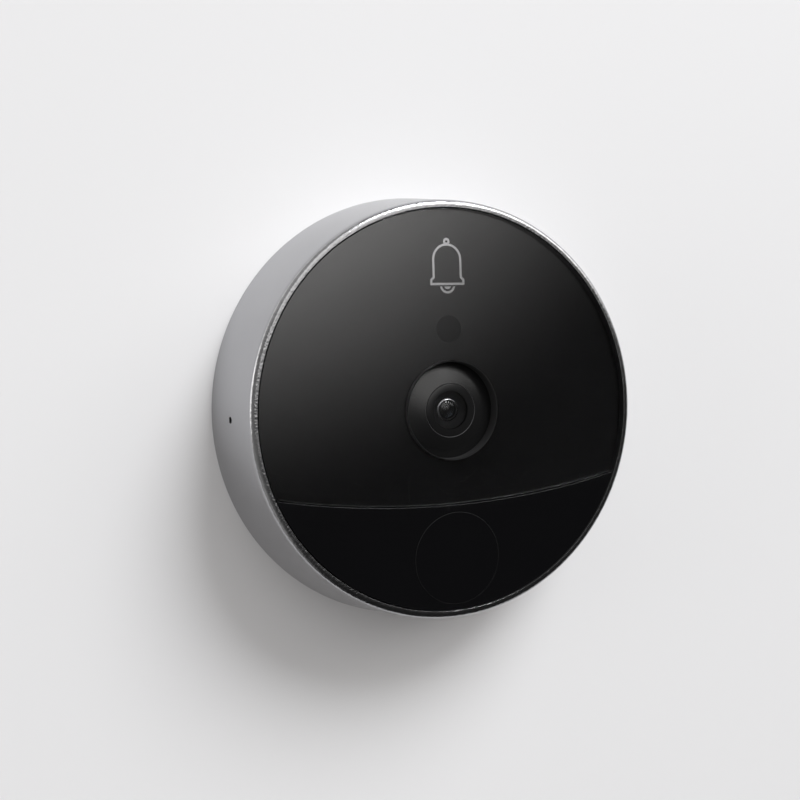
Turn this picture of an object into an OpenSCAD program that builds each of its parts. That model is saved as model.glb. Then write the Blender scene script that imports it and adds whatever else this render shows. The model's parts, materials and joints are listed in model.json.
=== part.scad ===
// Peephole door camera: the outdoor unit of a video door viewer. A tapered aluminium housing with a
// black front stands on the door, and a hollow threaded barrel goes through the peephole.
// Each piece is drawn lying on its back: X right, Y up the door, Z out of the door from the door face.
// facing() then stands it up, so that the front looks along -Y and +Z is up.

/* [Housing] */
// Outer diameter at the door
body_back_d = 72.2; // [70:0.1:78]
// Outer diameter at the front rim
body_front_d = 68; // [66:0.1:70]
// Height of the front rim above the door
body_depth = 15.5; // [15:0.1:20]
// Radius of the round on the rim's outer edge
rim_fillet = 1; // [0.3:0.05:1.05]
// Width of the rim, from its outer edge to the front opening
rim_w = 1.26; // [1.2:0.02:1.8]
// Chamfer on the rim's inner edge
rim_chamfer = 0.1; // [0.05:0.05:0.15]
// Wall of the housing beside the cavity
shell_wall = 1.4; // [1:0.1:1.8]
// Width of the inner ledge that the chassis seats on
ledge_w = 1.7; // [1.2:0.1:2.2]
// Thickness of that ledge
ledge_t = 1.8; // [1.2:0.1:2]
// Wall of the housing round the rear cover
rear_lip_w = 1.6; // [1.2:0.1:2]

/* [Front panels] */
// Depth of the panels' face below the rim
panel_recess = 0.15; // [0.05:0.05:0.4]
// Gap between the panels and the rim
panel_gap = 0.3; // [0.2:0.05:0.5]
// Thickness of the clear skin of the bell panel
cover_t = 1.4; // [1:0.1:1.8]
// Thickness of the tray behind the clear skin
base_t = 0.9; // [0.7:0.1:1.4]
// Room behind the bell panel for its press travel
press_gap = 0.65; // [0.6:0.05:1]
// Chamfer on the panels' front edges
panel_chamfer = 0.1; // [0.05:0.05:0.2]
// Radius of the curved seam between the panels
seam_r = 147.6; // [100:1:250]
// Width of the seam
seam_gap = 0.25; // [0.2:0.05:0.4]
// Distance from the seam's low point to the motion lens
seam_margin = 1.17; // [0.8:0.01:1.6]

/* [Bell symbol] */
// Distance from the panel's edge to the middle of the bell
bell_edge = 9.04; // [8:0.02:10.5]
// Height of the bell's body
bell_h = 6.71; // [5:0.01:7.5]
// Width of the bell's body
bell_w = 5.2; // [4:0.05:6]
// Width of the bell's mouth
bell_mouth_w = 6.1; // [5:0.05:7]
// Height of the upright edge at the mouth
bell_mouth_h = 0.94; // [0.6:0.02:1.2]
// Height of the flare above the mouth
bell_flare_h = 0.38; // [0.3:0.02:0.8]
// Width of the drawn line
bell_stroke = 0.37; // [0.25:0.01:0.5]
// Distance from the bell's mouth to the middle of the symbol
bell_drop = 3.11; // [2.8:0.01:3.4]
// Radius of the clapper's arc
clapper_r = 1.36; // [1:0.02:1.6]
// Radius of the clapper's core
clapper_core_r = 0.65; // [0.4:0.01:0.7]
// Gap between the mouth and the clapper
clapper_gap = 0.23; // [0.15:0.01:0.4]
// Outer radius of the loop on top
loop_r = 0.58; // [0.5:0.02:0.8]
// Radius of the loop's eye
loop_eye_r = 0.2; // [0.1:0.02:0.3]
// Height of the loop's middle above the dome
loop_rise = 0.3; // [0.25:0.02:0.45]
// Thickness of the symbol
icon_t = 0.15; // [0.1:0.05:0.3]
// Margin of the pocket round the symbol
icon_margin = 0.5; // [0.3:0.1:1]

/* [Camera window] */
// Diameter of the window
window_d = 8.6; // [7.8:0.1:9.6]
// Thickness of the window
window_t = 0.8; // [0.6:0.1:1]
// Depth of the window's face below the panel
window_depth = 1.05; // [0.8:0.05:1.3]
// Width of the ledge under the window
window_seat_w = 0.6; // [0.4:0.1:0.8]
// Thickness of the seal under the window
window_seal_t = 0.2; // [0.1:0.05:0.3]
// Chamfer round the window
window_chamfer = 0.12; // [0.06:0.02:0.2]
// Outer diameter of the recess's collar
collar_d = 16; // [15:0.1:18]
// Wall of the collar
collar_t = 0.2; // [0.2:0.05:0.5]
// Depth of the collar's edge below the panel
collar_recess = 0.05; // [0.05:0.05:0.3]
// Gap between the collar and the bell panel
collar_gap = 0.15; // [0.15:0.05:0.4]
// Radius of the dome round the window
dome_r = 20.6; // [18:0.2:40]
// Width of the flange that seats the bezel in the chassis
bezel_flange_w = 2.5; // [1.5:0.1:2.8]
// Thickness of that flange
bezel_flange_t = 0.8; // [0.5:0.1:1]

/* [Camera] */
// Diameter of the front lens
front_lens_d = 3; // [2.4:0.1:3.4]
// Edge thickness of the front lens
front_lens_t = 0.25; // [0.2:0.05:0.5]
// Height of the front lens's dome above its edge
front_lens_rise = 0.35; // [0.2:0.05:0.4]
// Diameter of the light path through the barrel
light_path_d = 2.4; // [1.8:0.1:2.6]
// Diameter of the rear lens
rear_lens_d = 5; // [4:0.1:5.4]
// Thickness of the rear lens
rear_lens_t = 0.8; // [0.5:0.1:1]
// Outer diameter of the lens barrel's thread
lens_thread_d = 8; // [7:0.1:8.4]
// Wall of the tower round the lens barrel
tower_wall = 1.2; // [0.8:0.1:1.6]
// Length of the lens holder's block
holder_l = 22; // [21.6:0.1:22.4]
// Height of the block up the door
holder_w = 11; // [10.4:0.1:11.4]
// Thickness of the block above the board
holder_t = 2.8; // [2.6:0.1:3.2]
// Height of the shutter's slot above the board
shutter_rise = 1.35; // [1.2:0.05:1.5]
// Length of the shutter
shutter_l = 12.6; // [12:0.1:13]
// Width of the shutter
shutter_w = 6.6; // [6:0.1:7.4]
// Thickness of the shutter
shutter_t = 0.5; // [0.3:0.05:0.6]
// Travel of the shutter
shutter_travel = 5.8; // [5.6:0.1:6]
// Diameter of the shutter's two filters
filter_d = 4.6; // [4:0.1:5]
// Thickness of the filters
filter_t = 0.3; // [0.2:0.05:0.3]
// Running gap round the shutter
shutter_gap = 0.1; // [0.05:0.01:0.15]
// Length of the image sensor
sensor_chip_l = 8; // [6:0.1:8.4]
// Width of the image sensor
sensor_chip_w = 7; // [5:0.1:7.4]
// Height of the image sensor
sensor_chip_t = 0.9; // [0.6:0.1:1]
// Room round the image sensor
chip_room = 0.3; // [0.2:0.05:0.5]
// Length of the shutter's coil
coil_l = 10; // [6:0.1:14]
// Width of the shutter's coil
coil_w = 3.5; // [2:0.1:4]
// Height of the shutter's coil
coil_h = 2.8; // [2:0.1:3.6]
// Length of the holder's screw ears
ear_l = 3.4; // [3:0.1:3.8]
// Thickness of the screw ears
ear_t = 1.4; // [1:0.1:2]

/* [Light sensor] */
// Diameter of the dark dot
dot_d = 4.4; // [3.6:0.1:5]
// Distance from the collar to the middle of the dot
dot_gap = 5.2; // [4.8:0.1:6]
// Width of the infrared lamp
lamp_w = 3.5; // [2.8:0.1:4]
// Height of the infrared lamp
lamp_h = 1.9; // [1.2:0.1:2.4]
// Diameter of the light guide
guide_d = 3.8; // [3:0.1:4.2]
// Width of the light guide's flange
guide_flange_w = 0.7; // [0.4:0.1:1]
// Thickness of the light guide's flange
guide_flange_t = 0.6; // [0.4:0.1:1]

/* [Motion sensor] */
// Diameter of the motion lens
pir_d = 15.06; // [13:0.02:15.4]
// Distance from the motion lens to the panel's edge
pir_edge = 0.8; // [0.6:0.05:1.4]
// Thickness of the motion lens
pir_lens_t = 0.7; // [0.5:0.1:1]
// Thickness of the panel's lip over the motion lens's flange
pir_lip_t = 1.2; // [0.9:0.1:1.6]
// Width of the motion lens's flange, under the lip
pir_flange_w = 0.6; // [0.3:0.05:0.7]
// Thickness of that flange
pir_flange_t = 0.6; // [0.4:0.1:0.9]
// Fine gap round the motion lens
pir_gap = 0.06; // [0.03:0.01:0.12]
// Diameter of the sensor can
can_d = 8.2; // [7.6:0.1:9]
// Width of the can's foot flange
can_flange_w = 0.5; // [0.3:0.1:0.6]
// Thickness of the can's foot flange
can_flange_t = 0.5; // [0.3:0.1:0.8]
// Height of the sensor can
can_h = 4; // [3.4:0.1:4.2]
// Depth of the can's top behind the chassis plate
can_drop = 0.9; // [0.6:0.1:1.2]
// Width of the can's window
can_window_w = 4; // [3:0.1:5]
// Height of the can's window
can_window_h = 3; // [2:0.1:4]
// Depth of the can's window
can_window_depth = 0.2; // [0.1:0.05:0.4]

/* [Bell hinge] */
// Distance from the middle to each hinge
hinge_x = 18; // [16.5:0.1:20]
// Height of the hinge axis above the seam's low point
hinge_rise = 3.9; // [3.6:0.1:5]
// Depth of the hinge axis behind the chassis plate
hinge_drop = 1.3; // [1.2:0.05:1.6]
// Diameter of the hinge pins
pin_d = 1.5; // [1:0.1:1.8]
// Radial clearance of the lugs on the pins
pin_run = 0.05; // [0.02:0.01:0.08]
// Radial clearance of the pins in the chassis
pin_seat = 0.01; // [0.01:0.005:0.03]
// Width of the panel's hinge lugs
lug_w = 3.4; // [2.4:0.1:4]
// Height of the panel's hinge lugs
lug_h = 3; // [2.8:0.1:3.4]
// Gap round the lugs and hooks in the chassis
lug_gap = 0.3; // [0.2:0.05:0.5]
// Width of the bearing blocks beside each lug
bearing_w = 2.4; // [1.6:0.1:2.8]
// Distance from the middle to each snap hook
hook_x = 11; // [9.5:0.1:12]
// Distance from the panel's edge to the hooks
hook_edge = 6.4; // [6:0.1:7]
// Width of the snap hooks
hook_w = 3; // [2:0.1:4]
// Thickness of the snap hooks
hook_t = 1; // [0.8:0.1:1.2]
// Reach of the hooks' barbs under the chassis
barb_reach = 0.9; // [0.8:0.05:1.1]
// Height of the barbs
barb_h = 0.95; // [0.6:0.05:1.2]
// Slack of the barbs below the chassis plate
barb_slack = 0.05; // [0.02:0.01:0.1]

/* [Bell switch] */
// Width of the switch body
switch_w = 6; // [5:0.1:7]
// Height of the switch body
switch_h = 3.4; // [3:0.1:3.6]
// Diameter of the switch's plunger
plunger_d = 3.4; // [2.6:0.1:3.8]
// Height of the plunger above the switch body
plunger_h = 1.4; // [1:0.1:1.5]
// Depth of the plunger's hole in the switch body
plunger_hole = 1.2; // [0.8:0.1:2]
// Radial clearance of the plunger
plunger_run = 0.06; // [0.03:0.01:0.1]
// Room under the plunger for its travel
plunger_room = 0.5; // [0.4:0.05:0.7]
// Diameter of the panel's nub over the plunger
nub_d = 3.2; // [2.4:0.1:4]
// Gap between the nub and the plunger
nub_slack = 0.05; // [0.03:0.01:0.1]

/* [Chassis and board] */
// Thickness of the chassis plate
chassis_t = 1.5; // [1.3:0.1:2]
// Gap between the chassis plate and the housing
chassis_gap = 0.2; // [0.1:0.05:0.3]
// Thickness of the flat seals
seal_t = 0.3; // [0.2:0.05:0.5]
// Diameter of the screw posts
post_d = 5.2; // [4.6:0.1:6]
// Distance from the panel's edge to the posts
post_edge = 5; // [4.6:0.1:5.6]
// Thickness of the circuit board
board_t = 1.2; // [0.8:0.1:1.6]
// Distance from the housing's ledge to the board's edge
board_edge = 1.5; // [1:0.1:2]
// Room between the rear cover and the board
board_room = 2.4; // [2.2:0.1:3]
// Side of the processor's square shield
shield_l = 12.6; // [10:0.1:13]
// Height of the shield
shield_h = 2; // [1.4:0.1:2.6]
// Wall of the shield
shield_wall = 0.3; // [0.2:0.05:0.5]
// Length of the memory chip
memory_l = 8; // [6:0.1:9]
// Width of the memory chip
memory_w = 6; // [4:0.1:7]
// Height of the memory chip
memory_h = 1; // [0.6:0.1:1.4]
// Side of the square power chip
power_l = 5; // [3:0.1:6]
// Height of the power chip
power_h = 0.9; // [0.6:0.1:1.2]
// Side of the square choke
choke_l = 4; // [3:0.1:5]
// Height of the choke
choke_h = 1.8; // [1:0.1:2.2]
// Gap between the lens holder and the chips
chip_gap = 1; // [0.6:0.1:1.6]
// Spacing of the chips up the board
chip_pitch = 7; // [6.6:0.1:8]
// Fine clearance where pieces seat in each other
seat_fit = 0.02; // [0.01:0.01:0.05]

/* [Sound] */
// Diameter of the microphone hole
mic_hole_d = 1.1; // [0.8:0.1:1.4]
// Height of the microphone hole above the door
mic_z = 7.8; // [7.4:0.1:7.9]
// Diameter of the passage over the microphone
mic_port_d = 0.7; // [0.5:0.05:0.75]
// Length of the microphone
mic_l = 3.8; // [3:0.1:4.2]
// Width of the microphone
mic_w = 3; // [2.4:0.1:3.6]
// Height of the microphone
mic_h = 1.1; // [0.8:0.1:1.2]
// Width of the microphone's boot
boot_w = 5.2; // [4.4:0.1:6]
// Distance from the board's edge to the boot's inner end
boot_reach = 6.6; // [6:0.1:7]
// Distance from the board's edge to the middle of the microphone
mic_inset = 3.6; // [3.2:0.1:4]
// Length of the speaker
speaker_l = 18; // [15:0.1:20]
// Width of the speaker
speaker_w = 9; // [7:0.1:11]
// Clearance over the speaker
speaker_room = 0.2; // [0.1:0.05:0.3]
// Distance from the board's edge to the speaker
speaker_edge = 2; // [1.5:0.1:3]
// Width of the speaker's duct
duct_w = 13; // [11:0.5:16]
// Wall of the duct
duct_wall = 0.45; // [0.3:0.05:0.6]
// Diameter of the speaker holes in the housing
speaker_hole_d = 1.2; // [0.8:0.1:1.2]
// Spacing of the speaker holes
speaker_hole_pitch = 1.9; // [1.7:0.1:2]
// Number of speaker holes
speaker_holes = 5; // [3:1:5]

/* [Rear] */
// Thickness of the rear cover
rear_t = 2; // [1.8:0.1:2.4]
// Depth of the rear cover's face behind the door face
rear_recess = 0.15; // [0.1:0.05:0.3]
// Least width of the rear seal's seat
rear_seal_w = 1; // [0.8:0.05:1.05]
// Gap between the rear cover and the housing
rear_gap = 0.1; // [0.05:0.05:0.2]
// Thickness of the door pad
pad_t = 0.8; // [0.5:0.1:1]
// Outer diameter of the door pad
pad_d = 46; // [40:0.5:46]
// Diameter of the hole in the door pad
pad_hole_d = 22; // [20.5:0.5:26]
// Depth of the cover screws' heads behind the door face
screw_sink = 0.3; // [0.2:0.05:0.5]
// Diameter of the cover screws' heads
screw_head_d = 3.8; // [3.4:0.1:4]
// Height of the cover screws' heads
screw_head_h = 1.3; // [1:0.1:1.5]
// Diameter of the cover screws' shanks
screw_d = 1.9; // [1.6:0.1:2.2]
// Bite of the cover screws in the posts
screw_bite = 3.5; // [2.5:0.1:4]
// Clearance of the screws in the holes that they pass
screw_gap = 0.2; // [0.1:0.05:0.3]
// Diameter of the camera screws' shanks
small_screw_d = 1.4; // [1:0.1:1.6]
// Diameter of the camera screws' heads
small_head_d = 2.4; // [2:0.1:2.8]
// Height of the camera screws' heads
small_head_h = 0.8; // [0.5:0.1:1]

/* [Barrel] */
// Outer diameter of the barrel's thread
barrel_d = 14; // [12:0.1:15]
// Bore of the barrel, for the ribbon cable
barrel_bore_d = 10.4; // [9.6:0.1:11]
// Length of the barrel behind the door face
barrel_l = 35; // [25:1:60]
// Diameter of the barrel's flange
barrel_flange_d = 19; // [17:0.1:20]
// Thickness of the barrel's flange
barrel_flange_t = 0.85; // [0.6:0.05:0.9]
// Length of the barrel in front of the rear cover
barrel_bite = 1; // [0.6:0.1:1.1]
// Step from the thread in to the barrel's seat in the rear cover
barrel_step = 0.3; // [0.2:0.05:0.5]
// Wall of the rear cover's boss round the barrel
boss_wall = 2.2; // [1.5:0.1:2.6]
// Chamfer on the barrel's free end
barrel_chamfer = 0.6; // [0.3:0.1:1]
// Spacing of the barrel's thread
thread_pitch = 1.5; // [1.4:0.1:2]
// Depth of the thread
thread_depth = 0.6; // [0.4:0.05:0.7]
// Width of the thread's crests
thread_crest = 0.3; // [0.2:0.05:0.4]
// Width of the thread's floor
thread_floor = 0.4; // [0.3:0.05:0.5]
// Least length of the plain neck between the thread and the flange
thread_neck = 1.6; // [1:0.1:3]
// Length of the cable socket
socket_l = 7.2; // [5:0.1:7.6]
// Width of the cable socket
socket_w = 3.6; // [2.6:0.1:4]
// Height of the cable socket
socket_h = 1.2; // [1:0.1:1.3]
// Width of the socket's slot
socket_slot = 0.9; // [0.6:0.1:1.2]
// Wall at the ends and floor of the socket's slot
socket_wall = 0.4; // [0.3:0.05:0.6]

/* [Hidden] */
$fn = 96;

// How far a cut runs past the face that it opens
past = 1;
// Steps in the arc of the rim
rim_steps = 10;
// Steps in the arc of the bell's dome
dome_steps = 32;

// Heights above the door face
panel_z = body_depth - panel_recess;
cover_back_z = panel_z - cover_t;
base_back_z = cover_back_z - base_t;
chassis_z = base_back_z - press_gap;
chassis_back_z = chassis_z - chassis_t;
ledge_z = chassis_back_z - seal_t;
ledge_back_z = ledge_z - ledge_t;
board_back_z = rear_t + board_room;
board_z = board_back_z + board_t;
hinge_z = chassis_back_z - hinge_drop;
window_z = panel_z - window_depth;
window_back_z = window_z - window_t;
window_seat_z = window_back_z - window_seal_t;
bezel_back_z = chassis_z - bezel_flange_t;
plunger_z = board_z + switch_h + plunger_h;

// Radii of the housing and what fills it
back_r = body_back_d / 2;
front_r = body_front_d / 2;
taper = (back_r - front_r) / (body_depth - rim_fillet);
function shell_r(z) = back_r - z * taper;
opening_r = front_r - rim_w;
panel_r = opening_r - panel_gap;
ledge_r = opening_r - ledge_w;
rear_seat_r = back_r - rear_lip_w;
cavity_r = min(shell_r(ledge_back_z) - shell_wall, rear_seat_r - rear_seal_w);
board_r = min(ledge_r, cavity_r) - board_edge;
post_ring_r = min(panel_r - post_edge, cavity_r - chassis_gap - post_d / 2);

// Places on the front, up the door from the middle
pir_r = pir_d / 2;
pir_y = pir_edge + pir_r - panel_r;
seam_y = pir_y + pir_r + seam_margin;
seam_center_y = seam_y + seam_r;
bell_y = panel_r - bell_edge;
collar_r = collar_d / 2;
panel_hole_r = collar_r + collar_gap;
dot_y = collar_r + dot_gap;
hinge_y = seam_y + hinge_rise;
hook_y = panel_r - hook_edge;
post_xy = post_ring_r * sqrt(1 / 2);

// Sizes of the camera
window_r = window_d / 2;
window_bore_r = window_r - window_seat_w;
tower_r = lens_thread_d / 2 + tower_wall;
tower_z = bezel_back_z - bezel_flange_t / 2;
holder_z = board_z + holder_t;
slot_z = board_z + shutter_rise;
slot_top_z = slot_z + shutter_t + 2 * shutter_gap;
lens_foot_z = slot_top_z + rear_lens_t / 2;
lens_head_z = window_seat_z - window_seal_t;
lens_head_r = window_bore_r - window_seal_t;
front_lens_z = lens_head_z - front_lens_t - front_lens_rise;
pin_l = lug_w + 2 * lug_gap + 2 * bearing_w;
ear_x = holder_l / 2 + ear_l / 2;
mic_x = mic_inset - board_r;
speaker_y = speaker_edge - board_r;
barrel_r = barrel_d / 2;
barrel_seat_r = barrel_r - barrel_step;
boss_r = barrel_r + boss_wall;

// Stands a piece up, so that its front looks along -Y
module facing() {
    rotate([90, 0, 0]) children();
}

// A disc from height low to height high
module disc(r, low, high) {
    translate([0, 0, low]) cylinder(r = r, h = high - low);
}

// A ring from height low to height high
module ring(outer_r, inner_r, low, high) {
    difference() {
        disc(outer_r, low, high);
        disc(inner_r, low - past, high + past);
    }
}

// A box with its middle at [x, y], from height low to height high
module block(size, place, low, high) {
    translate([place.x - size.x / 2, place.y - size.y / 2, low]) cube([size.x, size.y, high - low]);
}

// A disc whose front edge is chamfered
module edged_disc(r, low, high, chamfer) {
    rotate_extrude()
        polygon([[0, low], [r, low], [r, high - chamfer], [r - chamfer, high], [0, high]]);
}

module at_posts() {
    for (x = [-1, 1], y = [-1, 1]) translate([x * post_xy, y * post_xy, 0]) children();
}

module at_both_sides(x, y) {
    for (side = [-1, 1]) translate([side * x, y, 0]) children();
}

// A hole drilled through the housing's wall, turned about the axis from the right-hand side
module wall_hole(d, turn, z) {
    rotate([0, 0, turn]) translate([cavity_r - past, 0, z])
        rotate([0, 90, 0]) cylinder(d = d, h = back_r - cavity_r + 2 * past);
}

module housing_shell() {
    lean = atan(taper);
    rim_z = body_depth - rim_fillet;
    rim_r = shell_r(rim_z + rim_fillet * sin(lean)) - rim_fillet * cos(lean);
    rim_arc = [
        for (i = [0:rim_steps])
            let (a = lean + (90 - lean) * i / rim_steps)
            [rim_r + rim_fillet * cos(a), rim_z + rim_fillet * sin(a)]
    ];
    inside = [
        [opening_r + rim_chamfer, body_depth],
        [opening_r, body_depth - rim_chamfer],
        [opening_r, ledge_z],
        [ledge_r, ledge_z],
        [ledge_r, ledge_back_z],
        [cavity_r, ledge_back_z],
        [cavity_r, rear_t],
        [rear_seat_r, rear_t],
        [rear_seat_r, 0],
    ];
    speaker_hole_z = (rear_t + board_back_z - speaker_room) / 2;
    speaker_turn = speaker_hole_pitch / cavity_r * 180 / PI;
    first_turn = -90 - speaker_turn * (speaker_holes - 1) / 2;
    color("silver") facing() difference() {
        rotate_extrude() polygon(concat([[back_r, 0]], rim_arc, inside));
        wall_hole(mic_hole_d, 180, mic_z);
        for (i = [0:speaker_holes - 1])
            wall_hole(speaker_hole_d, first_turn + i * speaker_turn, speaker_hole_z);
    }
}

module bell_cover() {
    color("black", 0.4) facing() difference() {
        intersection() {
            edged_disc(panel_r, cover_back_z, panel_z, panel_chamfer);
            translate([0, seam_center_y, 0])
                edged_disc(seam_r - seam_gap, cover_back_z, panel_z, panel_chamfer);
        }
        disc(panel_hole_r, cover_back_z - past, panel_z + past);
    }
}

// Outline of the bell's body, drawn in by inset
module bell_outline(inset) {
    dome_y = bell_h - bell_drop - bell_w / 2;
    turn = atan((bell_mouth_w - bell_w) / 2 / bell_flare_h);
    drop = inset * tan(turn / 2);
    half = bell_w / 2 - inset;
    mouth = bell_mouth_w / 2 - inset;
    mouth_y = bell_mouth_h - bell_drop - drop;
    neck_y = mouth_y + bell_flare_h;
    dome = [
        for (i = [0:dome_steps])
            let (a = 180 - 180 * i / dome_steps)
            [half * cos(a), dome_y + half * sin(a)]
    ];
    right = [[half, neck_y], [mouth, mouth_y], [mouth, inset - bell_drop]];
    left = [for (i = [len(right) - 1:-1:0]) [-right[i].x, right[i].y]];
    polygon(concat(dome, right, left));
}

module clapper_cut() {
    translate([-bell_mouth_w, -clapper_gap]) square([2 * bell_mouth_w, clapper_r + clapper_gap + past]);
}

module bell_icon() {
    loop_y = bell_h - bell_drop + loop_rise;
    color("gainsboro") facing() translate([0, bell_y, cover_back_z - icon_t]) {
        linear_extrude(icon_t) difference() {
            bell_outline(0);
            bell_outline(bell_stroke);
        }
        translate([0, loop_y, 0]) ring(loop_r, loop_eye_r, 0, icon_t);
        linear_extrude(icon_t) translate([0, -bell_drop]) difference() {
            circle(r = clapper_r);
            circle(r = clapper_r - bell_stroke);
            clapper_cut();
        }
        linear_extrude(icon_t) translate([0, -bell_drop]) difference() {
            circle(r = clapper_core_r);
            clapper_cut();
        }
    }
}

module icon_pocket() {
    top = bell_h - bell_drop + loop_rise + loop_r + icon_margin;
    low = -bell_drop - clapper_r - icon_margin;
    width = bell_mouth_w + 2 * icon_margin;
    translate([-width / 2, bell_y + low, cover_back_z - icon_t]) cube([width, top - low, icon_t + past]);
}

module hinge_lug() {
    low_z = hinge_z - base_back_z;
    translate([0, 0, base_back_z]) difference() {
        union() {
            block([lug_w, lug_h], [0, 0], low_z, 0);
            translate([-lug_w / 2, 0, low_z]) rotate([0, 90, 0]) cylinder(d = lug_h, h = lug_w);
        }
        translate([-lug_w, 0, low_z]) rotate([0, 90, 0]) cylinder(r = pin_d / 2 + pin_run, h = 2 * lug_w);
    }
}

module snap_hook() {
    barb_z = chassis_back_z - barb_slack;
    block([hook_w, hook_t], [0, 0], barb_z - barb_h, base_back_z);
    translate([-hook_w / 2, 0, barb_z - barb_h]) cube([hook_w, hook_t / 2 + barb_reach, barb_h]);
}

module bell_base() {
    color([0.06, 0.06, 0.07]) facing() {
        difference() {
            intersection() {
                disc(panel_r, base_back_z, cover_back_z);
                translate([0, seam_center_y, 0]) disc(seam_r - seam_gap, base_back_z, cover_back_z);
            }
            disc(panel_hole_r, base_back_z - past, cover_back_z + past);
            translate([0, dot_y, 0]) disc(dot_d / 2 + seat_fit, base_back_z - past, cover_back_z + past);
            icon_pocket();
        }
        translate([0, bell_y, 0]) disc(nub_d / 2, plunger_z + nub_slack, base_back_z);
        at_both_sides(hinge_x, hinge_y) hinge_lug();
        at_both_sides(hook_x, hook_y) snap_hook();
    }
}

module sensor_window() {
    color([0.1, 0.03, 0.05]) facing()
        translate([0, dot_y, 0]) disc(dot_d / 2, base_back_z, cover_back_z);
}

module pir_panel() {
    seam_cut = [
        [0, chassis_z - past],
        [seam_r, chassis_z - past],
        [seam_r, panel_z - panel_chamfer],
        [seam_r + panel_chamfer + past, panel_z + past],
        [0, panel_z + past],
    ];
    color([0.05, 0.05, 0.05]) facing() difference() {
        edged_disc(panel_r, chassis_z, panel_z, panel_chamfer);
        translate([0, seam_center_y, 0]) rotate_extrude($fn = 360) polygon(seam_cut);
        translate([0, pir_y, 0]) {
            disc(pir_r + pir_gap, chassis_z - past, panel_z + past);
            disc(pir_r + pir_flange_w + pir_gap, chassis_z - past, panel_z - pir_lip_t);
        }
    }
}

module pir_lens() {
    flange_z = panel_z - pir_lip_t;
    inner_r = pir_r - pir_lens_t;
    profile = [
        [0, panel_z - pir_lens_t],
        [inner_r, panel_z - pir_lens_t],
        [inner_r, flange_z - pir_flange_t],
        [pir_r + pir_flange_w, flange_z - pir_flange_t],
        [pir_r + pir_flange_w, flange_z],
        [pir_r, flange_z],
        [pir_r, panel_z],
        [0, panel_z],
    ];
    color([0.08, 0.08, 0.08]) facing() translate([0, pir_y, 0]) rotate_extrude() polygon(profile);
}

module lens_bezel() {
    edge_r = window_r + window_chamfer;
    dome_z = window_z - sqrt(dome_r * dome_r - edge_r * edge_r);
    color([0.1, 0.1, 0.1]) facing() difference() {
        union() {
            disc(collar_r + bezel_flange_w, bezel_back_z, chassis_z);
            disc(collar_r, bezel_back_z, panel_z - collar_recess);
        }
        difference() {
            disc(collar_r - collar_t, chassis_z, panel_z + past);
            translate([0, 0, dome_z]) sphere(r = dome_r);
        }
        disc(window_bore_r, bezel_back_z - past, panel_z);
        disc(window_r + seat_fit, window_seat_z, panel_z);
        translate([0, 0, window_z - window_chamfer])
            cylinder(r1 = window_r, r2 = window_r + 2 * window_chamfer, h = 2 * window_chamfer);
    }
}

module lens_window() {
    color("lightblue", 0.4) facing() disc(window_r, window_back_z, window_z);
}

module window_seal() {
    color([0.15, 0.15, 0.15]) facing() ring(window_r, window_bore_r, window_seat_z, window_back_z);
}

module hinge_bearings() {
    block_w = lug_h + 2 * lug_gap;
    for (side = [-1, 1])
        block([bearing_w, block_w], [side * (pin_l - bearing_w) / 2, 0], hinge_z - lug_h / 2, chassis_back_z);
}

module hinge_window() {
    block([lug_w + 2 * lug_gap, lug_h + 2 * lug_gap], [0, 0], hinge_z, chassis_z + past);
}

module front_chassis() {
    color([0.12, 0.12, 0.13]) facing() difference() {
        union() {
            disc(opening_r - chassis_gap, chassis_back_z, chassis_z);
            at_posts() disc(post_d / 2, board_z, chassis_back_z);
            at_both_sides(hinge_x, hinge_y) hinge_bearings();
        }
        disc(collar_r + bezel_flange_w + seat_fit, bezel_back_z, chassis_z + past);
        disc(collar_r, chassis_back_z - past, chassis_z + past);
        translate([0, pir_y, 0]) disc(can_d / 2 + lug_gap, chassis_back_z - past, chassis_z + past);
        translate([0, dot_y, 0]) disc(guide_d / 2 + seat_fit, chassis_back_z - past, chassis_z + past);
        translate([0, bell_y, 0]) disc(nub_d / 2 + 2 * lug_gap, chassis_back_z - past, chassis_z + past);
        at_posts() disc(screw_d / 2 + seat_fit, board_z - past, board_z + screw_bite + screw_gap);
        at_both_sides(hinge_x, hinge_y) hinge_window();
        at_both_sides(hook_x, hook_y)
            block([hook_w + 2 * lug_gap, hook_t + 2 * lug_gap], [0, 0], chassis_back_z - past, chassis_z + past);
        for (side = [-1, 1])
            translate([side * hinge_x - pin_l, hinge_y, hinge_z])
                rotate([0, 90, 0]) cylinder(r = pin_d / 2 + pin_seat, h = 2 * pin_l);
    }
}

module chassis_seal() {
    color([0.2, 0.2, 0.2]) facing() ring(opening_r - chassis_gap, ledge_r, ledge_z, chassis_back_z);
}

module hinge_pins() {
    color("silver") facing()
        for (side = [-1, 1])
            translate([side * hinge_x - pin_l / 2, hinge_y, hinge_z])
                rotate([0, 90, 0]) cylinder(d = pin_d, h = pin_l);
}

module main_board() {
    color("darkgreen") facing() difference() {
        disc(board_r, board_back_z, board_z);
        at_posts() disc(screw_d / 2 + screw_gap, board_back_z - past, board_z + past);
        at_both_sides(ear_x, 0) disc(small_screw_d / 2 + seat_fit, board_back_z - past, board_z + past);
    }
}

module board_chips() {
    side_x = holder_l / 2 + ear_l + chip_gap;
    color([0.15, 0.15, 0.16]) facing() {
        block([memory_l, memory_w], [side_x + memory_l / 2, chip_pitch], board_z, board_z + memory_h);
        block([choke_l, choke_l], [side_x + choke_l / 2, 0], board_z, board_z + choke_h);
        block([power_l, power_l], [side_x + power_l / 2, -chip_pitch], board_z, board_z + power_h);
    }
}

module processor_shield() {
    place = [-holder_l / 2 - shield_l / 2 - shield_wall, boot_w / 2 + shield_l / 2 + shield_wall];
    room = shield_l - 2 * shield_wall;
    color("lightgray") facing() difference() {
        block([shield_l, shield_l], place, board_z, board_z + shield_h);
        block([room, room], place, board_z - past, board_z + shield_h - shield_wall);
    }
}

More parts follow.
